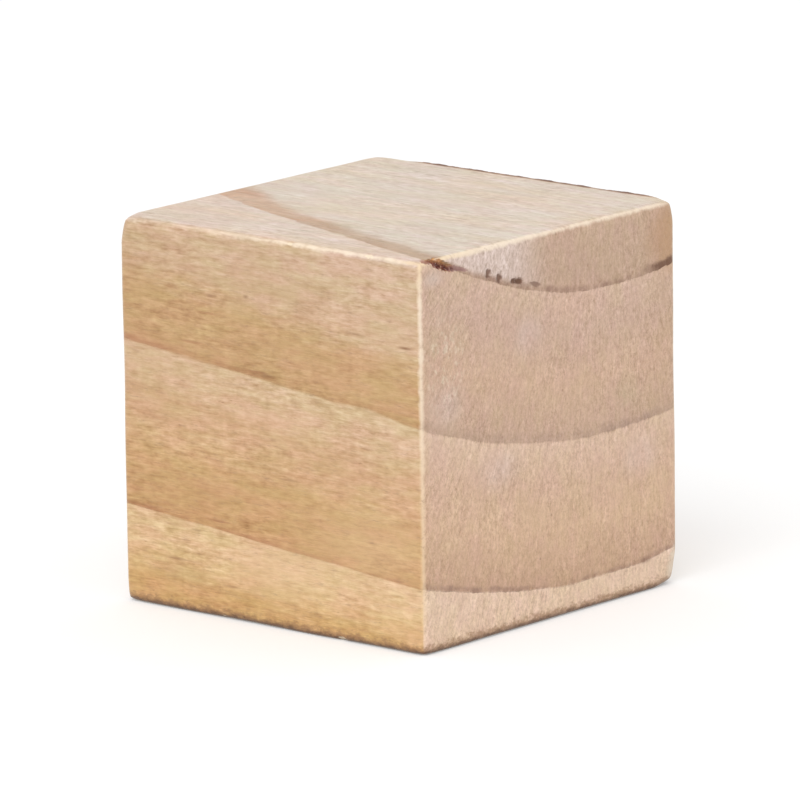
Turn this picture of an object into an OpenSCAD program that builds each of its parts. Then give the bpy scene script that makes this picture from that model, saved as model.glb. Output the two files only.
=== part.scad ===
// Plain wooden cube: one block of softwood, sawn to size, sanded and left bare.
// Z is up, and the origin is the middle of the square that the cube stands on.
// The fibres run along X, so the two X faces are end grain.

/* [Cube] */
// Length of every edge, from flat face to flat face
side = 25.4; // [12:0.1:60]

/* [Sanding] */
// Radius to which the twelve arrises are eased
arris_radius = 0.35; // [0.1:0.05:1.5]
// Depth rubbed off each of the eight corners, inward from the tip that the eased arrises leave
corner_rub = 0.25; // [0.05:0.05:1.5]

/* [Hidden] */
$fn = 96;
half_side = side / 2;
middle = [0, 0, half_side];
// Where three eased arrises meet, their common tip lies this deep along the cube's diagonal
eased_tip_depth = sqrt(3) * arris_radius * (1 - sqrt(1 / 2));
rubbed_reach = sqrt(3) * half_side - eased_tip_depth - corner_rub;

// Square outline whose four corners carry the arris radius
module eased_square() {
    straight = side - 2 * arris_radius;
    square([side, straight], center = true);
    square([straight, side], center = true);
    for (x = [-1, 1], y = [-1, 1])
        translate([x * straight / 2, y * straight / 2])
            circle(r = arris_radius);
}

// The eased square run through the cube along Z, with four of the twelve arrises
module eased_bar() {
    linear_extrude(height = side, center = true)
        eased_square();
}

// One solid block: three eased bars crossed at right angles, within the reach of the rubbed corners
module wooden_cube() {
    color("burlywood")
        translate(middle)
            intersection() {
                eased_bar();
                rotate([90, 0, 0]) eased_bar();
                rotate([0, 90, 0]) eased_bar();
                sphere(r = rubbed_reach);
            }
}

wooden_cube();
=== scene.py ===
"""A plain wooden cube: one block of bare pine, sawn square, sanded and lightly eased at its arrises."""

import math

import bmesh
import bpy
from mathutils import Matrix, Vector, noise


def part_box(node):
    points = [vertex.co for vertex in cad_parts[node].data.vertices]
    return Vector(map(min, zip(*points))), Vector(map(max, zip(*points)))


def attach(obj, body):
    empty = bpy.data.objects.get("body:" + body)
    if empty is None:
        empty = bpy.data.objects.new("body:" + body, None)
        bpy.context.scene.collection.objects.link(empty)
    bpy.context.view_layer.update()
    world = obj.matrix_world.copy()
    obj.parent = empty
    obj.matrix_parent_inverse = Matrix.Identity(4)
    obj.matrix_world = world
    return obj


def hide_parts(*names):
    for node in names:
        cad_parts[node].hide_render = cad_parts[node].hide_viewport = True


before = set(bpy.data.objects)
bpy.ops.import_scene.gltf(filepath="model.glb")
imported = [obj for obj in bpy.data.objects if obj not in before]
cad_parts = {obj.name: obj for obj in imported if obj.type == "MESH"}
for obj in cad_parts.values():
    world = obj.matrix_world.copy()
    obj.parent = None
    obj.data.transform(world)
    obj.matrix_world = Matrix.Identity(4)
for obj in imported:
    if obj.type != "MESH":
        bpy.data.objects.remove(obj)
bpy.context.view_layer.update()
mm = 0.001

# ----------------------------------------------------------------------------------------------------
# The block
# One piece of pine, sawn out of a plank and planed square on all six sides. The fibres run along X,
# so the two X ends show end grain. It is a net of fine cells near its arrises and coarser ones between.
# ----------------------------------------------------------------------------------------------------
low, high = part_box("wooden_cube")
side = high[0] - low[0]
half_side = side / 2
middle = (Vector(low) + Vector(high)) / 2

fine_cell = 0.08 * mm
coarse_cell = 0.42 * mm
cell_growth = 1.25
fine_band = 1.1 * mm

bpy.ops.object.select_all(action="DESELECT")
bpy.ops.mesh.primitive_cube_add(size=side, location=middle)
cube = bpy.context.object
cube.name = cube.data.name = "bare_pine_cube"
bpy.ops.object.transform_apply(location=True, rotation=True, scale=True)

cut_places = []
cell = fine_cell
reached = cell
while reached < half_side:
    cut_places += [reached, side - reached]
    if reached > fine_band:
        cell = min(cell * cell_growth, coarse_cell)
    reached += cell

bpy.ops.object.mode_set(mode="EDIT")
for axis in range(3):
    square_to = [0, 0, 0]
    square_to[axis] = 1
    for cut_place in cut_places:
        cut_point = list(low)
        cut_point[axis] += cut_place
        bpy.ops.mesh.select_all(action="SELECT")
        bpy.ops.mesh.bisect(plane_co=cut_point, plane_no=square_to)
bpy.ops.object.mode_set(mode="OBJECT")

# ----------------------------------------------------------------------------------------------------
# The eased arrises and corners
# Sanding by hand rounds the twelve arrises a little, more in some places than in others, and the
# eight corners a little more. Each pass of the smoothing takes off what a few strokes would.
# ----------------------------------------------------------------------------------------------------
arris_strokes = 26
arris_pressure = 0.8
arris_evenness = 0.62
arris_wander = 6 * mm
corner_strokes = 220
corner_pressure = 0.5
corner_rubbing = {
    # which corner: how far the rubbing reaches, in millimetres, and how hard it is rubbed
    (-1, -1, -1): (1.3, 0.1),
    (1, -1, -1): (1.2, 0.05),
    (1, 1, -1): (2.2, 0.6),
    (-1, 1, -1): (1.4, 0.15),
    (-1, -1, 1): (1.7, 0.45),
    (1, -1, 1): (1.2, 0.04),
    (1, 1, 1): (1.5, 0.3),
    (-1, 1, 1): (1.4, 0.15),
}

sanded_arrises = cube.vertex_groups.new(name="sanded arrises")
rubbed_corners = cube.vertex_groups.new(name="rubbed corners")
for vertex in cube.data.vertices:
    patch = noise.noise(vertex.co / arris_wander)
    evenness = arris_evenness + (1 - arris_evenness) * patch
    sanded_arrises.add([vertex.index], min(max(evenness, 0.0), 1.0), "REPLACE")
    for ends, (reach, hardness) in corner_rubbing.items():
        corner = middle + Vector(ends) * half_side
        closeness = 1 - ((vertex.co - corner).length / (reach * mm)) ** 2
        if closeness > 0:
            rubbed_corners.add([vertex.index], hardness * closeness**2, "REPLACE")
for group, pressure, strokes in (
    (sanded_arrises, arris_pressure, arris_strokes),
    (rubbed_corners, corner_pressure, corner_strokes),
):
    smoothing = cube.modifiers.new(group.name, "SMOOTH")
    smoothing.factor = pressure
    smoothing.iterations = strokes
    smoothing.vertex_group = group.name
    bpy.ops.object.modifier_apply(modifier=smoothing.name)
cube.vertex_groups.clear()

# ----------------------------------------------------------------------------------------------------
# The torn and nicked places
# A splinter came away at the front top corner, where the saw met the hard line of a growth ring, and
# small pits broke out just above that line. Along the back top arris the saw left a low dark ridge of
# crushed fibre, and the other arrises have small fresh nicks.
# ----------------------------------------------------------------------------------------------------
# Places, sizes and depths are in millimetres here, from the middle of the bottom face
half_block = half_side / mm

# How much a tear's depth and its outline vary, the size of the grain they vary by, and the noise's seed,
# which is fixed so that each run tears the wood alike
raggedness = 0.6
straying = 0.5
ragged_grain = 0.2 * mm
straying_seed = 5

# The mark of a tear is this high on its outline, higher inside it, and falls to nought outside it
fringe = 1.5

splinter_reach_in = 0.6
splinters = (
    # place across the +X end, height, half length, half width, depth, slope in degrees
    (-11.6, 25.24, 0.80, 0.17, 0.12, -12),
    (-10.75, 24.98, 1.15, 0.34, 0.30, -22),
    (-10.15, 24.72, 0.85, 0.30, 0.24, -27),
    (-8.95, 24.42, 1.00, 0.17, 0.07, -16),
    (-6.05, 23.6, 0.30, 0.34, 0.14, -14),
    (-4.95, 23.16, 0.34, 0.36, 0.16, -10),
    (-3.5, 22.68, 0.46, 0.24, 0.14, -12),
    (-2.95, 22.62, 0.40, 0.26, 0.16, -12),
    (-1.4, 22.16, 0.66, 0.18, 0.05, -13),
)
ridge_start = -9.6
ridge_end = 11.9
ridge_fade = 1.2
ridge_inset = 0.14
ridge_half_width = 0.26
ridge_net_reach = 2.2 * ridge_half_width
ridge_height = 0.13
ridge_lumps = 0.7
ridge_wisps = 0.2
ridge_tufts = (
    # where a tuft stands a little higher along the ridge, and its half length
    (-6.9, 0.75),
    (-3.4, 0.6),
    (-0.2, 0.35),
    (2.2, 0.6),
    (5.3, 0.65),
    (8.7, 0.7),
)
nick_size = 0.34
nick_stretch = 1.3
nick_depth = 0.1
nicks = (
    # a place along an arris, 1 or -1 for each of the two faces that meet there, and a share of the size
    (8.4, -1, 1, 1.0),
    (1.8, -1, 1, 0.8),
    (-7.9, -1, 1, 0.5),
    (5.7, -1, -1, 0.9),
    (-4.4, -1, -1, 0.7),
    (-9.2, 1, -1, 0.9),
    (2.6, 1, -1, 1.1),
)

noise.seed_set(straying_seed)

# Each point of the net keeps how far inside a tear, a nick or the ridge it lies, for the wood's colour
cube.data.attributes.new("torn", "FLOAT", "POINT")
cube.data.attributes.new("nicked", "FLOAT", "POINT")
cube.data.attributes.new("crushed", "FLOAT", "POINT")


def divide(cuts):
    """Divide the chosen faces, and cut the many-sided ones left round them into triangles."""
    bpy.ops.mesh.subdivide(number_cuts=cuts)
    bpy.ops.mesh.select_all(action="DESELECT")
    bpy.ops.mesh.select_face_by_sides(number=4, type="GREATER")
    bpy.ops.mesh.quads_convert_to_tris(quad_method="BEAUTY", ngon_method="BEAUTY")


def tear(mark, centre, reach, push, depth, turn=0.0, cuts=2):
    """Push a ragged spot of the skin in, and mark on the mesh how far inside its outline each point is."""
    centre = Vector(centre) * mm
    reach = Vector(reach) * mm
    unturn = Matrix.Rotation(math.radians(-turn), 3, "X")
    push = Vector(push).normalized()

    def closeness(point):
        strayed = noise.noise_vector(point / ragged_grain) * min(reach) * straying
        offset = unturn @ (point - centre + strayed)
        return 1 - sum((offset[i] / reach[i]) ** 2 for i in range(3))

    bpy.ops.mesh.select_all(action="DESELECT")
    net = bmesh.from_edit_mesh(cube.data)
    for face in net.faces:
        face.select_set(closeness(face.calc_center_median()) > -fringe)
    bmesh.update_edit_mesh(cube.data)
    divide(cuts)
    net = bmesh.from_edit_mesh(cube.data)
    marks = net.verts.layers.float[mark]
    for vertex in net.verts:
        share = closeness(vertex.co)
        vertex[marks] = max(vertex[marks], share + fringe)
        if share > 0:
            share = min(share * (1 + raggedness * noise.noise(vertex.co / ragged_grain)), 1.0)
            vertex.co += push * depth * mm * share * (2 - share)
    bmesh.update_edit_mesh(cube.data)


bpy.ops.object.mode_set(mode="EDIT")
for across, up, half_length, half_width, depth, slope in splinters:
    reach = (splinter_reach_in, half_length, half_width)
    tear("torn", (half_block, across, up), reach, (-1, 0, 0), depth, turn=slope)

bpy.ops.mesh.select_all(action="DESELECT")
net = bmesh.from_edit_mesh(cube.data)
ridge_line = Vector((0, half_side - ridge_inset * mm, side))
for face in net.faces:
    away = face.calc_center_median() - ridge_line
    face.select_set(Vector((0, away.y, away.z)).length < ridge_net_reach * mm)
bmesh.update_edit_mesh(cube.data)
divide(cuts=2)
net = bmesh.from_edit_mesh(cube.data)
crushed_marks = net.verts.layers.float["crushed"]
for vertex in net.verts:
    place = vertex.co.x / mm
    off_line = (vertex.co.y - ridge_line.y) / (ridge_half_width * mm)
    from_ends = min(place - ridge_start, ridge_end - place) / ridge_fade
    if abs(off_line) < 1 and from_ends > 0 and vertex.co.z > side - ridge_half_width * mm:
        profile = (1 - off_line**2) ** 2
        fade = min(from_ends, 1)
        tuft = max(1 - ((place - peak) / half_length) ** 2 for peak, half_length in ridge_tufts)
        tuft = max(tuft, 0)
        lumps = noise.noise(Vector((place / ridge_lumps, 0.4, 0.1)))
        wisps = noise.noise(Vector((place / ridge_wisps, 3.4, 0.1)))
        roughly = lumps + 0.6 * wisps
        rise = fade * (0.9 + 0.2 * roughly + 0.25 * tuft)
        vertex.co.z += profile * ridge_height * mm * max(rise, 0.1)
        crushing = min(max(0.7 + 0.25 * roughly + 0.6 * tuft, 0), 1)
        vertex[crushed_marks] = profile**0.5 * fade * crushing
bmesh.update_edit_mesh(cube.data)

for place, out_y, out_z, share in nicks:
    centre = (place, out_y * half_block, (1 + out_z) * half_block)
    size = nick_size * share
    reach = (size * nick_stretch, size, size)
    tear("nicked", centre, reach, (0, -out_y, -out_z), nick_depth * share, cuts=1)
bpy.ops.object.mode_set(mode="OBJECT")

bpy.ops.object.shade_smooth()

# ----------------------------------------------------------------------------------------------------
# The softwood
# Bare pine. Each growth ring runs from pale earlywood to brown latewood and ends in a sharp line. The
# pith lay above the block and leaned, so the rings sag across the ends and slope along the sides.
# ----------------------------------------------------------------------------------------------------
# Where the pith passes the middle of the block, in millimetres, and how far it leans for each one along X
pith_y = 7.6
pith_z = 42.7
pith_lean_y = -0.108
pith_lean_z = -0.159

# The rings grow smaller along X, are flatter than circles, and are counted from the innermost hard line
trunk_taper = -0.0023
ring_flattening = 0.724
first_ring = 20.45
ring_width = 9.8

# How far the fibres turn aside, and the broad bands dip, for each millimetre along X
fibre_turn = 0.04
broad_dip = 0.085

# How far apart the resin canals lie, along the fibres and across them
canal_spacing = (14.0, 1.3, 1.3)

# Painted light: how much paler the top is painted than the sides, in red, green and blue, for the brighter
# light from above and the white room that it mirrors at a low angle, before its patches dull it again
painted_top_light = (1.141, 1.193, 1.365)

softwood = bpy.data.materials.new("bare softwood")
softwood.use_nodes = True
nodes = softwood.node_tree.nodes
links = softwood.node_tree.links
surface = nodes["Principled BSDF"]


def tint(red, green, blue):
    """A colour as the eye reads it, 0 to 255, in the linear values that the nodes take."""
    seen = [channel / 255 for channel in (red, green, blue)]
    return [c / 12.92 if c <= 0.04045 else ((c + 0.055) / 1.055) ** 2.4 for c in seen] + [1]


def node(kind, inputs=(), output=0, **settings):
    """Add a node, with its settings made and its inputs linked or filled, and return one output."""
    made = nodes.new("ShaderNode" + kind)
    for name, value in settings.items():
        setattr(made, name, value)
    for name, value in dict(inputs).items():
        if isinstance(value, bpy.types.NodeSocket):
            links.new(value, made.inputs[name])
        else:
            made.inputs[name].default_value = value
    return made.outputs[output]


def maths(operation, first, second=0.0, third=0.0):
    """One step of arithmetic on values that change over the wood."""
    return node("Math", {0: first, 1: second, 2: third}, operation=operation)


def blend(amount, under, over, mode="MIX"):
    """Lay one colour over another where the amount says so."""
    inputs = {"Factor": amount, 6: under, 7: over}
    return node("Mix", inputs, output=2, data_type="RGBA", blend_type=mode)


def ramp(value, low_end, high_end, from_value=0.0, to_value=1.0):
    """A smooth step from one value to another as the first one rises between two ends."""
    inputs = {0: value, 1: low_end, 2: high_end, 3: from_value, 4: to_value}
    return node("MapRange", inputs, interpolation_type="SMOOTHSTEP", clamp=True)


def by_ring(count, stops):
    """Colours from ring to ring: each stop is a place counted in rings, and the colour there."""
    made = nodes.new("ShaderNodeValToRGB")
    first, last = stops[0][0], stops[-1][0]
    links.new(node("MapRange", {0: count, 1: first, 2: last}, clamp=True), made.inputs[0])
    keys = made.color_ramp.elements
    while len(keys) < len(stops):
        keys.new(1.0)
    for key, (place, colour) in zip(keys, stops):
        key.position = (place - first) / (last - first)
        key.color = colour
    return made.outputs[0]


def speckle(vector, size, detail=2.0, roughness=0.5):
    """Uneven growth in grains of a given size along each axis, in millimetres: mostly from -1 to 1."""
    scaled = node("VectorMath", {0: vector, 1: [1 / s for s in size]}, operation="MULTIPLY")
    inputs = {"Vector": scaled, "Scale": 1.0, "Detail": detail, "Roughness": roughness}
    return maths("MULTIPLY_ADD", node("TexNoise", inputs), 4.0, -2.0)


def layered(start, *layers):
    """Add several patterns to a starting value, each with its own strength."""
    total = start
    for pattern, strength in layers:
        total = maths("MULTIPLY_ADD", pattern, strength, total)
    return total


def shaded(colour, tone, red_power, blue_power):
    """Darken or lighten a colour by a tone about one: darker wood is browner, so blue drops the most."""
    tone = maths("MAXIMUM", tone, 0.01)
    powers = {0: maths("POWER", tone, red_power), 1: tone, 2: maths("POWER", tone, blue_power)}
    return node("VectorMath", {0: colour, 1: node("CombineXYZ", powers)}, operation="MULTIPLY")


def near(place, reach, strength=1.0):
    """How strongly a spot is felt: full at its place, and nought at its reach along each axis."""
    offset = node("VectorMath", {0: here, 1: place}, operation="SUBTRACT")
    offset = node("VectorMath", {0: offset, 1: [1 / r for r in reach]}, operation="MULTIPLY")
    away = node("VectorMath", {0: offset}, operation="LENGTH", output="Value")
    return ramp(away, 0.0, 1.0, strength, 0.0)


# Place in the block, in millimetres, and in the trunk that it was sawn from
here = node("TexCoord", output="Object")
here = node("VectorMath", {0: here, "Scale": 1 / mm}, operation="SCALE")
apart = node("SeparateXYZ", {0: here})
along = apart.node.outputs["X"]
level = apart.node.outputs["Y"]
height = apart.node.outputs["Z"]

trunk_scale = maths("MULTIPLY_ADD", along, trunk_taper, 1.0)
pith_place_y = maths("MULTIPLY_ADD", along, pith_lean_y, pith_y)
pith_place_z = maths("MULTIPLY_ADD", along, pith_lean_z, pith_z)
from_pith_y = maths("DIVIDE", maths("SUBTRACT", level, pith_place_y), trunk_scale)
from_pith_z = maths("DIVIDE", maths("SUBTRACT", height, pith_place_z), trunk_scale)
flattened_y = maths("MULTIPLY", from_pith_y, ring_flattening)
flattened = node("CombineXYZ", {1: flattened_y, 2: from_pith_z})
radius = node("VectorMath", {0: flattened}, operation="LENGTH", output="Value")
bearing = maths("ARCTAN2", flattened_y, maths("MULTIPLY", from_pith_z, -1.0))

# The fibres run nearly along X, and the broad bands of colour dip with the rings towards the +X end
fibre_level = maths("MULTIPLY_ADD", along, fibre_turn, level)
fibres = node("CombineXYZ", {0: along, 1: fibre_level, 2: height})
dipped_height = maths("MULTIPLY_ADD", along, broad_dip, height)
dipped = node("CombineXYZ", {0: along, 1: fibre_level, 2: dipped_height})

# The rings wander a little, slowly across the block and finely from fibre to fibre. They bulge up at the
# pits, towards the end of the front side and low down at the back, sag at the front side's other end,
# and lie a little further from the pith on the top.
slow = speckle(dipped, (30.0, 7.0, 7.0), detail=1.0)
fine = speckle(dipped, (4.0, 0.45, 0.45), detail=3.0, roughness=0.6)
on_top = ramp(height, 2 * half_block - 0.5, 2 * half_block - 0.2)
pitted_bulge = near((half_block, -3.6, 22.1), (7.0, 7.0, 7.0), 0.14)
lens_bulge = near((8.2, -half_block, 15.6), (3.0, 6.0, 3.0), 0.22)
back_bulge = maths("MULTIPLY", ramp(level, 8.0, 13.0), ramp(height, 13.0, 5.0, 0.0, 0.45))
turned_top = maths("MULTIPLY", on_top, -0.27)
left_sag = near((-half_block, -half_block, 16.6), (14.0, 12.0, 5.0), -0.22)
wandered = layered(radius, (slow, 0.14), (fine, 0.07), (pitted_bulge, 1.0), (lens_bulge, 1.0))
wandered = layered(wandered, (back_bulge, 1.0), (turned_top, 1.0), (left_sag, 1.0))
ring_count = maths("DIVIDE", maths("SUBTRACT", wandered, first_ring), ring_width)
in_ring = maths("FRACT", ring_count)
full_ring = maths("GREATER_THAN", ring_count, 0.0)

# End grain shows where the surface faces along the fibres
facing = node("NewGeometry", output="Normal")
facing_along = maths("ABSOLUTE", node("SeparateXYZ", {0: facing}))
cut_across = ramp(facing_along, 0.35, 0.8)

# Long grain: each ring pale at first, then a feathered step to brown about halfway, and each ring
# outward a little yellower. The innermost ring here stayed pale to its end.
feather = speckle(dipped, (4.0, 0.6, 0.6), detail=4.0, roughness=0.65)
mid_ring = maths("MULTIPLY", in_ring, maths("SUBTRACT", 1.0, in_ring))
feathered = maths("MULTIPLY_ADD", maths("MULTIPLY", feather, mid_ring), 0.34, in_ring)
feathered = maths("MINIMUM", maths("MAXIMUM", feathered, 0.0), 0.999)
grown = maths("ADD", maths("FLOOR", ring_count), feathered)
long_colour = by_ring(
    grown,
    (
        (-0.5, tint(208, 180, 150)),
        (-0.06, tint(204, 178, 147)),
        (-0.001, tint(196, 166, 130)),
        (0.0, tint(209, 178, 149)),
        (0.56, tint(204, 169, 132)),
        (0.72, tint(197, 157, 110)),
        (0.999, tint(196, 154, 107)),
        (1.0, tint(213, 180, 143)),
        (1.22, tint(211, 174, 135)),
        (1.32, tint(207, 167, 126)),
        (1.52, tint(209, 168, 124)),
        (1.66, tint(203, 161, 111)),
        (1.999, tint(198, 152, 101)),
        (2.0, tint(221, 185, 141)),
        (2.2, tint(223, 186, 139)),
        (2.43, tint(209, 164, 108)),
    ),
)

# The hard line that ends a ring, widest on the innermost one, and never even along its length
line_begins = node("Mix", {0: full_ring, 2: ramp(along, -11.0, -6.5, 0.886, 0.91), 3: 0.964})
line_start = layered(line_begins, (slow, 0.008), (fine, 0.008))
line_width = ramp(full_ring, 0.0, 1.0, 0.055, 0.03)
past_line = maths("DIVIDE", maths("SUBTRACT", in_ring, line_start), line_width)
ring_line = ramp(past_line, 0.0, 1.0)
line_patches = speckle(dipped, (5.0, 1.8, 1.8), detail=2.0)
line_share = maths("MULTIPLY", ring_line, ramp(line_patches, -0.9, 0.8, 0.0, 0.62))
long_colour = blend(line_share, long_colour, tint(172, 118, 78))
inmost_line = maths("MULTIPLY", ring_line, ramp(full_ring, 0.0, 1.0, 1.0, 0.0))
inmost_line = maths("MULTIPLY", inmost_line, ramp(on_top, 0.0, 1.0, 0.4, 0.76))
line_grain = speckle(fibres, (3.0, 0.35, 0.35), detail=3.0, roughness=0.6)
patchy = ramp(layered(line_patches, (line_grain, 0.8)), -1.2, 1.0, 0.62, 1.0)
inmost_line = maths("MULTIPLY", inmost_line, patchy)
inmost_colour = blend(ramp(along, -8.0, 6.0), tint(186, 120, 58), tint(162, 116, 68))
long_colour = blend(inmost_line, long_colour, inmost_colour)

# Patches of olive and pink, broad bands and blotches, and then the fibres: streaks, dashes, hairs, thin
# dark threads and short flecks, with faint saw marks across them, all livelier in some places than others
hue_patches = speckle(fibres, (3.2, 1.0, 1.0), detail=2.0, roughness=0.6)
hue = blend(ramp(hue_patches, -0.9, 0.9), tint(249, 254, 244), tint(255, 249, 254))
long_colour = blend(1.0, long_colour, hue, "MULTIPLY")
bands = speckle(dipped, (22.0, 1.3, 1.3), detail=2.0)
blotches = speckle(dipped, (5.5, 1.0, 1.0), detail=3.0, roughness=0.6)
streaks = speckle(fibres, (2.4, 0.34, 0.34), detail=3.0, roughness=0.6)
dashes = speckle(fibres, (0.8, 0.27, 0.27), detail=2.0, roughness=0.6)
hairs = speckle(fibres, (1.4, 0.08, 0.08), detail=2.0, roughness=0.6)
threads = maths("ABSOLUTE", speckle(fibres, (7.0, 0.4, 0.4), detail=2.0))
threads = ramp(threads, 0.0, 0.12, 1.0, 0.0)
saw_marks = speckle(here, (0.3, 5.0, 5.0), detail=1.0)
broad = layered(0.0, (bands, 0.045), (blotches, 0.075))
broad = maths("MULTIPLY", broad, ramp(on_top, 0.0, 1.0, 1.0, 1.9))
texture = layered(0.0, (streaks, 0.13), (dashes, 0.18), (hairs, 0.108), (saw_marks, 0.025))
mottle = speckle(here, (0.9, 0.7, 0.5), detail=3.0, roughness=0.6)
texture = layered(texture, (threads, -0.05), (mottle, 0.06))
lively_patches = speckle(fibres, (9.0, 3.0, 3.0), detail=2.0)
texture = maths("MULTIPLY", texture, ramp(lively_patches, -0.8, 0.8, 0.75, 1.45))
texture = maths("MULTIPLY", texture, ramp(on_top, 0.0, 1.0, 1.0, 1.3))
lighter_along = maths("MULTIPLY", along, ramp(on_top, 0.0, 1.0, 0.003, 0.0002))
long_tone = layered(1.067, (broad, 1.0), (texture, 1.0), (lighter_along, 1.0))
flecks = speckle(fibres, (0.9, 0.17, 0.17), detail=2.0, roughness=0.6)
flecks = maths("MULTIPLY", ramp(flecks, 0.55, 1.0), ramp(hue_patches, -0.3, 0.6, 0.1, 0.6))
long_colour = blend(flecks, long_colour, tint(160, 112, 70))

# Resin canals: thin brown dashes along the grain, and dots on the end grain
canal_scale = [1 / spacing for spacing in canal_spacing]
canal_place = node("VectorMath", {0: fibres, 1: canal_scale}, operation="MULTIPLY")
canal_inputs = {"Vector": canal_place, "Scale": 1.0, "Randomness": 1.0}
canal_distance = node("TexVoronoi", canal_inputs, output="Distance")
canal = ramp(canal_distance, 0.04, 0.1, 1.0, 0.0)
canal = maths("MULTIPLY", canal, ramp(in_ring, 0.3, 0.6, 0.25, 1.0))
long_colour = blend(maths("MULTIPLY", canal, 0.5), long_colour, tint(166, 112, 70))
long_colour = shaded(long_colour, long_tone, 0.72, 1.4)
for place, reach, strength in (
    # short dark marks, each where a canal comes out at a low angle
    ((11.4, -half_block, 19.75), (0.9, 0.6, 0.16), 0.8),
    ((7.3, -half_block, 20.15), (1.1, 0.6, 0.14), 0.4),
    ((-1.9, -half_block, 21.4), (0.35, 0.6, 0.2), 0.55),
    ((-4.9, -half_block, 21.1), (0.6, 0.6, 0.18), 0.5),
    ((-0.2, -half_block, 16.45), (0.9, 0.6, 0.2), 0.6),
    ((-8.2, -half_block, 3.4), (1.6, 0.6, 0.16), 0.55),
    ((-3.5, -half_block, 2.2), (1.2, 0.6, 0.14), 0.45),
    ((1.5, -half_block, 9.9), (1.3, 0.6, 0.14), 0.4),
):
    long_colour = blend(near(place, reach, strength), long_colour, tint(132, 86, 46))

for place, reach in (
    # patches where the long grain is more olive
    ((-10.6, -half_block, 20.9), (2.5, 2.0, 1.3)),
    ((-2.4, -half_block, 19.9), (2.6, 2.0, 1.1)),
    ((10.2, -half_block, 18.4), (2.2, 2.0, 1.5)),
    ((-7.5, -half_block, 2.4), (4.0, 2.0, 1.3)),
):
    long_colour = blend(near(place, reach, 0.4), long_colour, tint(192, 160, 106))

for place, reach, strength in (
    # two broad patches where it is paler
    ((8.6, -half_block, 6.2), (9.0, 4.0, 3.6), 0.3),
    ((0.5, -half_block, 3.6), (7.0, 4.0, 2.6), 0.32),
):
    long_colour = blend(near(place, reach, strength), long_colour, tint(232, 196, 154))

# The top is painted paler all over, partly as painted light from above and from the white room that it
# mirrors at a low angle, and it varies from warmer to cooler in patches
top_patches = speckle(fibres, (7.0, 2.2, 2.2), detail=2.0)
cooler_top_patches = ramp(top_patches, -0.8, 0.8, 0.0, 1.0)
top_light_and_patches = blend(cooler_top_patches, tint(244, 237, 224), tint(241, 242, 245))
top_light_and_patches = node("VectorMath", {0: top_light_and_patches, 1: painted_top_light}, operation="MULTIPLY")
top_colour_with_painted_light = node("VectorMath", {0: long_colour, 1: top_light_and_patches}, operation="MULTIPLY")
long_colour = blend(on_top, long_colour, top_colour_with_painted_light)

# End grain: pinker and greyer, lighter at each ring's start, darkening softly into grainy lines
end_colour = by_ring(
    ring_count,
    (
        (-0.5, tint(201, 169, 144)),
        (-0.001, tint(194, 162, 138)),
        (0.0, tint(213, 181, 158)),
        (0.25, tint(206, 173, 151)),
        (0.6, tint(211, 176, 149)),
        (0.999, tint(200, 167, 142)),
        (1.0, tint(222, 190, 165)),
        (1.3, tint(214, 179, 152)),
        (1.6, tint(216, 180, 150)),
        (1.999, tint(199, 162, 134)),
        (2.0, tint(230, 200, 174)),
        (2.75, tint(227, 195, 167)),
    ),
)
end_patches = speckle(here, (3.6, 1.6, 2.0), detail=4.0, roughness=0.65)
end_hue = blend(ramp(end_patches, -0.9, 0.9), tint(255, 251, 255), tint(253, 255, 247))
end_colour = blend(1.0, end_colour, end_hue, "MULTIPLY")
lilac = tint(216, 188, 182)
pink = tint(222, 180, 160)
olive = tint(188, 164, 132)
brown = tint(188, 154, 122)
for across, up, reach, colour in (
    # soft stains on the +X end: where each lies, how far it reaches and its colour
    (-10.3, 15.9, (2.8, 2.8, 2.4), lilac),
    (-2.2, 19.0, (2.4, 2.4, 2.0), lilac),
    (-5.2, 10.8, (3.2, 3.2, 2.0), lilac),
    (8.9, 9.2, (2.8, 2.8, 2.0), lilac),
    (2.4, 20.4, (4.6, 4.6, 2.2), pink),
    (7.5, 13.4, (2.6, 2.6, 2.3), olive),
    (-11.9, 19.4, (1.8, 1.8, 2.8), olive),
    (11.6, 16.0, (4.4, 4.4, 6.6), brown),
):
    stain = near((half_block, across, up), reach, 0.5)
    stain = maths("MULTIPLY", stain, ramp(end_patches, -0.7, 0.7, 0.3, 1.0))
    end_colour = blend(stain, end_colour, colour)

# Above the innermost ring the wood is greyer and paler towards the front
greyed = maths("MULTIPLY", ramp(level, -4.5, 0.5, 0.85, 0.0), ramp(ring_count, -0.06, 0.0, 1.0, 0.0))
end_colour = blend(greyed, end_colour, tint(221, 199, 187))

# The end's lines: broad and soft in the middle ring, narrow in the others, and grainy everywhere
cells = speckle(here, (0.3, 0.22, 0.36), detail=3.0, roughness=0.75)
pores = speckle(here, (0.11, 0.11, 0.11), detail=1.0)
second_line = maths("MULTIPLY", ramp(ring_count, 0.3, 0.7), ramp(ring_count, 1.3, 1.05))
soft_width = ramp(second_line, 0.0, 1.0, 0.036, 0.075)
specks = speckle(here, (1.0, 0.8, 0.5), detail=3.0, roughness=0.6)
grainy = layered(in_ring, (cells, 0.012), (line_patches, 0.008), (specks, 0.006))
soft_line = maths("DIVIDE", maths("SUBTRACT", maths("ADD", grainy, soft_width), 0.985), soft_width)
soft_line = ramp(soft_line, 0.0, 1.0)
line_strength = ramp(layered(line_patches, (specks, 0.8)), -1.0, 1.2, 0.12, 0.9)
line_strength = maths("MULTIPLY", line_strength, ramp(greyed, 0.2, 0.8, 1.0, 0.6))
softened = maths("MULTIPLY", second_line, ramp(level, -3.0, 4.0, 0.45, 0.0))
line_strength = maths("MULTIPLY", line_strength, maths("SUBTRACT", 1.0, softened))
end_line_share = maths("MULTIPLY", soft_line, line_strength)
end_line_colour = blend(second_line, tint(152, 118, 100), tint(172, 141, 122))
end_colour = blend(end_line_share, end_colour, end_line_colour)

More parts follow.
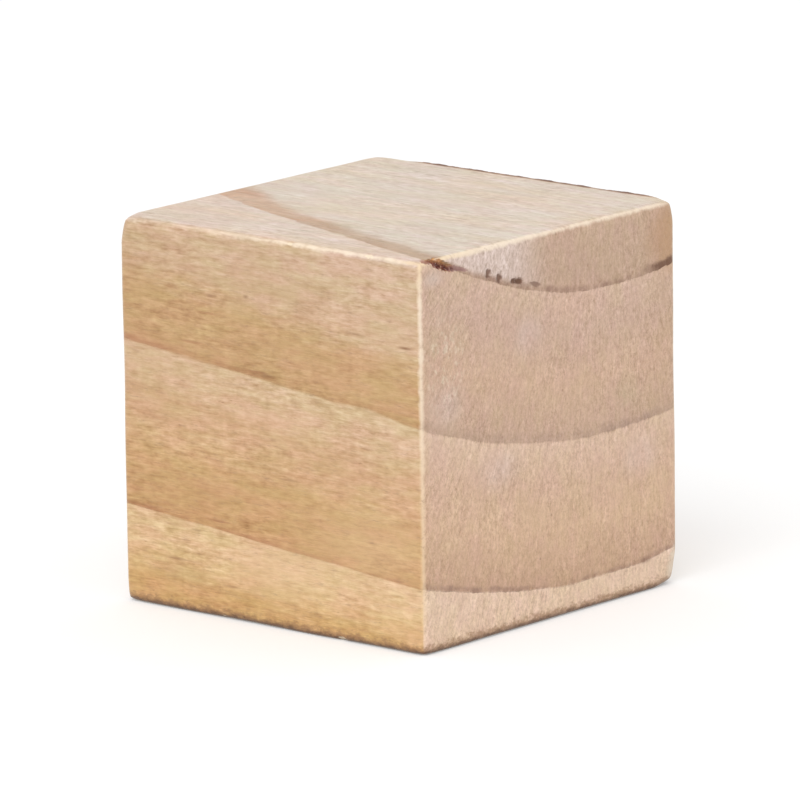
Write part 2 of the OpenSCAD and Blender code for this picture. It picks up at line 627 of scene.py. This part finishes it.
# Pale granules towards the front arris, and one dark fleck low down towards the back
granules = speckle(here, (0.34, 0.3, 0.44), detail=2.0)
granules = maths("MULTIPLY", ramp(granules, 0.1, 0.6), near((half_block, -10.4, 18.6), (3.2, 3.2, 4.6), 0.55))
end_colour = blend(granules, end_colour, tint(230, 214, 188))
dark_fleck = near((half_block, 9.3, 2.15), (0.8, 1.0, 0.36), 0.7)
end_colour = blend(dark_fleck, end_colour, tint(136, 98, 78))

# Rays fan out from the pith, and the cells lie in rows round it
rays_place = node("CombineXYZ", {0: maths("MULTIPLY", bearing, 30.0), 1: radius})
rays = speckle(rays_place, (0.34, 2.6, 1.0), detail=3.0, roughness=0.6)
files = speckle(rays_place, (0.09, 1.3, 1.0), detail=1.0)
rows = speckle(rays_place, (1.2, 0.25, 1.0), detail=2.0, roughness=0.5)
end_colour = blend(maths("MULTIPLY", canal, 0.55), end_colour, tint(160, 120, 98))
end_texture = layered(0.0, (rays, 0.11), (files, 0.075), (cells, 0.25), (pores, 0.08))
grains = speckle(here, (0.3, 0.26, 0.7), detail=2.0, roughness=0.6)
end_texture = layered(end_texture, (maths("MULTIPLY", grains, greyed), 0.2))
lively_end = speckle(here, (5.0, 2.4, 3.2), detail=2.0)
end_texture = maths("MULTIPLY", end_texture, ramp(lively_end, -0.8, 0.8, 0.7, 1.35))
end_tone = layered(1.056, (end_texture, 1.0), (rows, 0.012))
end_colour = shaded(end_colour, end_tone, 0.85, 1.2)

# A little resin has soaked in where the innermost ring comes out at the back of the +X end
resin = near((half_block, 12.4, 23.2), (4.6, 4.6, 4.6))
resin = layered(resin, (cells, 0.08), (end_patches, 0.1))
end_colour = blend(ramp(resin, 0.1, 0.95, 0.0, 0.6), end_colour, tint(190, 145, 100))
resin_line = maths("MULTIPLY", ramp(resin, 0.05, 0.5, 0.0, 0.85), ramp(grainy, 0.93, 0.965))
end_colour = blend(resin_line, end_colour, tint(104, 66, 44))

wood_colour = blend(cut_across, long_colour, end_colour)

# The arrises are painted paler, partly rubbed wood and partly a painted highlight where the eased arrises
# catch the light, most towards the +X end. The nearest arris lies as far off as the middle one of the
# distances to the three pairs of faces.
from_end = maths("SUBTRACT", half_block, maths("ABSOLUTE", along))
from_side = maths("SUBTRACT", half_block, maths("ABSOLUTE", level))
from_middle = maths("ABSOLUTE", maths("SUBTRACT", height, half_block))
from_top = maths("SUBTRACT", half_block, from_middle)
nearer = maths("MINIMUM", from_end, from_side)
farther = maths("MAXIMUM", from_end, from_side)
from_arris = maths("MAXIMUM", nearer, maths("MINIMUM", farther, from_top))
frayed = speckle(here, (0.7, 0.7, 0.7), detail=3.0)
# Painted highlight: the pale line is painted wider along the top of the +X end, towards the front
wider_highlight = near((half_block, -6.5, 2 * half_block), (4.0, 7.0, 2.5), 0.09)
on_arris = ramp(layered(from_arris, (frayed, 0.1), (wider_highlight, -1.0)), 0.08, 0.36, 1.0, 0.0)
rubbing_and_highlight = maths("MULTIPLY", ramp(along, -10.0, 4.0, 0.15, 0.78), ramp(height, 0.0, 4.0, 0.2, 1.0))
rubbing_and_highlight = maths("MULTIPLY", rubbing_and_highlight, ramp(height, 3.0, 23.0, 0.55, 1.0))
# Painted highlight, also on the rounded lower back corner of the +X end
rubbing_and_highlight = maths("MAXIMUM", rubbing_and_highlight, near((half_block, half_block, 0.0), (2.4, 2.4, 3.4), 0.8))
rubbing_and_highlight = maths("MULTIPLY", rubbing_and_highlight, on_arris)
rubbed_and_highlight_colour = blend(ramp(height, 4.0, 21.0), tint(250, 222, 180), tint(254, 236, 212))
front_top_corner = near((half_block, -half_block, 2 * half_block), (3.0, 8.0, 3.0))
rubbed_and_highlight_colour = blend(front_top_corner, rubbed_and_highlight_colour, tint(250, 224, 184))
wood_colour = blend(rubbing_and_highlight, wood_colour, rubbed_and_highlight_colour)

# The lower back corner of the +X end is painted pale, partly a bruise and partly a painted highlight on its
# rounded corner, and the bottom edge is painted darker all round, partly grime and partly painted contact
# shadow
crumbs = speckle(here, (0.5, 0.5, 0.3), detail=3.0, roughness=0.7)
bruise_and_highlight = layered(near((half_block, half_block, 1.0), (3.0, 2.1, 3.4)), (crumbs, 0.22), (frayed, 0.14))
wood_colour = blend(ramp(bruise_and_highlight, 0.25, 0.9, 0.0, 0.7), wood_colour, tint(230, 216, 196))
# A brown band along the bottom edge, partly grime and partly painted shade where the cube meets the floor
grime_and_contact_shade = ramp(layered(height, (frayed, 0.15), (crumbs, 0.32)), 0.36, 0.78, 0.66, 0.0)
wood_colour = blend(grime_and_contact_shade, wood_colour, tint(154, 112, 76))
# Under it a dark line of painted contact shadow
painted_contact_shadow = ramp(layered(height, (crumbs, 0.16)), 0.12, 0.46, 0.9, 0.0)
wood_colour = blend(painted_contact_shadow, wood_colour, tint(100, 68, 44))

# Torn places have ragged rims and dark hearts, partly torn wood and partly painted shade in the hollows
torn = node("Attribute", output="Fac", attribute_name="torn")
nicked = node("Attribute", output="Fac", attribute_name="nicked")
crushed = node("Attribute", output="Fac", attribute_name="crushed")
ragged = speckle(here, (0.25, 0.25, 0.25), detail=3.0, roughness=0.6)
tatters = speckle(here, (0.6, 0.7, 0.4), detail=2.0)
torn_inside = maths("SUBTRACT", torn, fringe)
torn_here = layered(torn_inside, (ragged, 0.4), (tatters, 0.4))
splintered = ramp(level, -8.2, -7.2, 1.0, 0.0)
edge_start = ramp(splintered, 0.0, 1.0, -0.35, 0.1)
edge_end = ramp(splintered, 0.0, 1.0, 0.6, 0.36)
torn_edge = ramp(torn_here, edge_start, edge_end)
torn_deep = layered(torn_inside, (ragged, 0.3), (tatters, 0.25))
torn_heart = ramp(torn_deep, ramp(splintered, 0.0, 1.0, -0.1, 0.2), 0.75)

# The splinter lies aslant: its low side is painted dark as shade, its high side has a pale rim, and the end
# is bleached just under it. The pits beyond it are painted darkest, as shade, in the middle of their row.
splinter_fall = 0.364
up_splinter = layered(height, (level, splinter_fall), (ragged, 0.09))
low_shadow = ramp(up_splinter, 20.98, 21.34, 1.0, 0.0)
chip_shadow = maths("MULTIPLY", low_shadow, ramp(level, -11.7, -10.6, 0.3, 1.0))
chip_shadow = maths("MULTIPLY", chip_shadow, ramp(level, -9.7, -9.0, 1.0, 0.6))
pit_shadow = maths("MULTIPLY", ramp(level, -4.4, -3.7, 0.6, 0.82), ramp(level, -2.3, -1.7, 1.0, 0.4))
heart_and_shadow_share = maths("MULTIPLY", torn_heart, node("Mix", {0: splintered, 2: pit_shadow, 3: chip_shadow}))
chip_rim = blend(ramp(up_splinter, 20.95, 21.3), tint(156, 86, 66), tint(220, 156, 94))
chip_rim = blend(ramp(level, -10.0, -9.3), chip_rim, tint(172, 134, 128))
rim_colour = blend(splintered, tint(158, 128, 112), chip_rim)
chip_colour = blend(ramp(level, -10.1, -9.3), tint(96, 36, 30), tint(128, 86, 84))
heart_and_shadow_colour = blend(splintered, tint(112, 78, 60), chip_colour)
bleached_spot = near((half_block, -11.5, 24.15), (1.5, 1.5, 0.8), 0.42)
wood_colour = blend(bleached_spot, wood_colour, tint(216, 198, 190))
wood_colour = blend(maths("MULTIPLY", torn_edge, 0.75), wood_colour, rim_colour)
wood_colour = blend(heart_and_shadow_share, wood_colour, heart_and_shadow_colour)

# The crushed ridge is dark and shredded, in a browner bruise, and the nicks are pale
shreds = speckle(here, (1.1, 0.2, 0.2), detail=3.0, roughness=0.65)
crushed_here = ramp(layered(crushed, (shreds, 0.3)), 0.15, 0.9)
bruised = ramp(layered(crushed, (shreds, 0.15)), 0.0, 0.3)
crushed_colour = blend(ramp(shreds, -0.6, 0.6), tint(78, 50, 48), tint(120, 86, 68))
wood_colour = blend(maths("MULTIPLY", bruised, 0.75), wood_colour, tint(156, 118, 92))
wood_colour = blend(maths("MULTIPLY", crushed_here, 0.95), wood_colour, crushed_colour)
nicked_here = ramp(layered(maths("SUBTRACT", nicked, fringe), (ragged, 0.2)), 0.1, 0.4)
wood_colour = blend(maths("MULTIPLY", nicked_here, 0.65), wood_colour, tint(252, 234, 204))

links.new(wood_colour, surface.inputs["Base Color"])

# Gloss: brown wood is closer and shinier than pale wood, and end grain and torn wood are dull. Fine
# fuzz that the sandpaper left catches the light where the surface is seen at a low angle.
long_roughness = layered(0.48, (feathered, -0.04), (streaks, 0.03))
end_roughness = layered(0.56, (cells, 0.04))
wood_roughness = node("Mix", {0: cut_across, 2: long_roughness, 3: end_roughness})
wood_roughness = layered(wood_roughness, (torn_edge, 0.25), (crushed_here, 0.3), (inmost_line, 0.45))
links.new(wood_roughness, surface.inputs["Roughness"])
surface.inputs["IOR"].default_value = 1.5
surface.inputs["Specular IOR Level"].default_value = 0.5
surface.inputs["Sheen Weight"].default_value = 0.95
surface.inputs["Sheen Roughness"].default_value = 0.3
surface.inputs["Sheen Tint"].default_value = (1.0, 0.95, 0.86, 1)

# Relief: fibres stand up along the grain, cells and rows of them across the end
long_height = layered(0.5, (streaks, 0.15), (hairs, 0.15), (feathered, 0.12), (canal, -0.2), (flecks, -0.2))
end_height = layered(0.5, (cells, 0.22), (pores, 0.15), (rows, 0.1), (ring_line, 0.1), (canal, -0.2))
wood_height = node("Mix", {0: cut_across, 2: long_height, 3: end_height})
relief = node("Bump", {"Strength": 0.7, "Distance": 0.06 * mm, "Height": wood_height}, output="Normal")
links.new(relief, surface.inputs["Normal"])

cube.data.materials.clear()
cube.data.materials.append(softwood)
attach(cube, "root")
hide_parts("wooden_cube")

# ----------------------------------------------------------------------------------------------------
# The floor
# A sheet of white card that the cube stands on. It looks as white as the room behind it, to the eye
# and in what the wood mirrors, and it keeps the cube's shadow.
# ----------------------------------------------------------------------------------------------------
floor_size = 6.0
card_grey = (0.8, 0.8, 0.8, 1)
card_lift = 0.24

bpy.ops.object.select_all(action="DESELECT")
bpy.ops.mesh.primitive_plane_add(size=floor_size, location=(0, 0, low[2]))
floor = bpy.context.object
floor.name = floor.data.name = "floor"
bpy.ops.object.transform_apply(location=True, rotation=True, scale=True)
white_card = bpy.data.materials.new("white card")
white_card.use_nodes = True
card_nodes = white_card.node_tree.nodes
card = card_nodes["Principled BSDF"]
card.inputs["Base Color"].default_value = card_grey
card.inputs["Roughness"].default_value = 0.9
card.inputs["Specular IOR Level"].default_value = 0.0
card.inputs["Emission Color"].default_value = (1, 1, 1, 1)


def seen_or_mirrored(tree):
    """One where a ray comes from the camera, a mirror or glass, and nought where it lights a thing."""
    ray = tree.nodes.new("ShaderNodeLightPath")
    mirrored = tree.nodes.new("ShaderNodeMath")
    mirrored.operation = "MAXIMUM"
    tree.links.new(ray.outputs["Is Glossy Ray"], mirrored.inputs[0])
    tree.links.new(ray.outputs["Is Transmission Ray"], mirrored.inputs[1])
    seen = tree.nodes.new("ShaderNodeMath")
    seen.operation = "MAXIMUM"
    tree.links.new(ray.outputs["Is Camera Ray"], seen.inputs[0])
    tree.links.new(mirrored.outputs[0], seen.inputs[1])
    return seen.outputs[0]


lift = card_nodes.new("ShaderNodeMath")
lift.operation = "MULTIPLY"
lift.inputs[1].default_value = card_lift
white_card.node_tree.links.new(seen_or_mirrored(white_card.node_tree), lift.inputs[0])
white_card.node_tree.links.new(lift.outputs[0], card.inputs["Emission Strength"])
floor.data.materials.append(white_card)

# ----------------------------------------------------------------------------------------------------
# The light
# A white room that lights the cube evenly from all round, and one large soft lamp high in front of it,
# a little to the left.
# ----------------------------------------------------------------------------------------------------
room_light = 0.86
lamp_size = 0.5
lamp_power = 1.8
lamp_place = Vector((0.18, -0.5, 0.55))

room = bpy.data.worlds.new("white room")
bpy.context.scene.world = room
room.use_nodes = True
background = room.node_tree.nodes["Background"]
background.inputs["Color"].default_value = (1, 1, 1, 1)
room_strength = room.node_tree.nodes.new("ShaderNodeMapRange")
room_strength.inputs["To Min"].default_value = room_light
room_strength.inputs["To Max"].default_value = 1.0
room.node_tree.links.new(seen_or_mirrored(room.node_tree), room_strength.inputs["Value"])
room.node_tree.links.new(room_strength.outputs[0], background.inputs["Strength"])

lamp_data = bpy.data.lights.new("soft lamp", "AREA")
lamp_data.shape = "SQUARE"
lamp_data.size = lamp_size
lamp_data.energy = lamp_power
lamp = bpy.data.objects.new("soft lamp", lamp_data)
bpy.context.collection.objects.link(lamp)
lamp.location = middle + lamp_place
lamp.rotation_euler = (-lamp_place).to_track_quat("-Z", "Y").to_euler()

# ----------------------------------------------------------------------------------------------------
# The camera
# A long lens, a little above the cube and turned towards its front arris. It stands so far off that
# the cube's sides look nearly parallel.
# ----------------------------------------------------------------------------------------------------
camera_azimuth = math.radians(40.7)
camera_elevation = math.radians(12.4)
camera_roll = math.radians(-0.8)
camera_distance = 25 * side
camera_lens = 442

camera_data = bpy.data.cameras.new("camera")
camera_data.lens = camera_lens
camera_data.clip_start = camera_distance / 10
camera_data.clip_end = floor_size * 2
camera = bpy.data.objects.new("camera", camera_data)
bpy.context.collection.objects.link(camera)
back = Vector(
    (
        math.sin(camera_azimuth) * math.cos(camera_elevation),
        -math.cos(camera_azimuth) * math.cos(camera_elevation),
        math.sin(camera_elevation),
    )
)
camera.location = middle + back * camera_distance
aim = (-back).to_track_quat("-Z", "Y").to_matrix()
camera.rotation_euler = (aim @ Matrix.Rotation(camera_roll, 3, "Z")).to_euler()
bpy.context.scene.camera = camera
bpy.context.scene.view_settings.view_transform = "Standard"
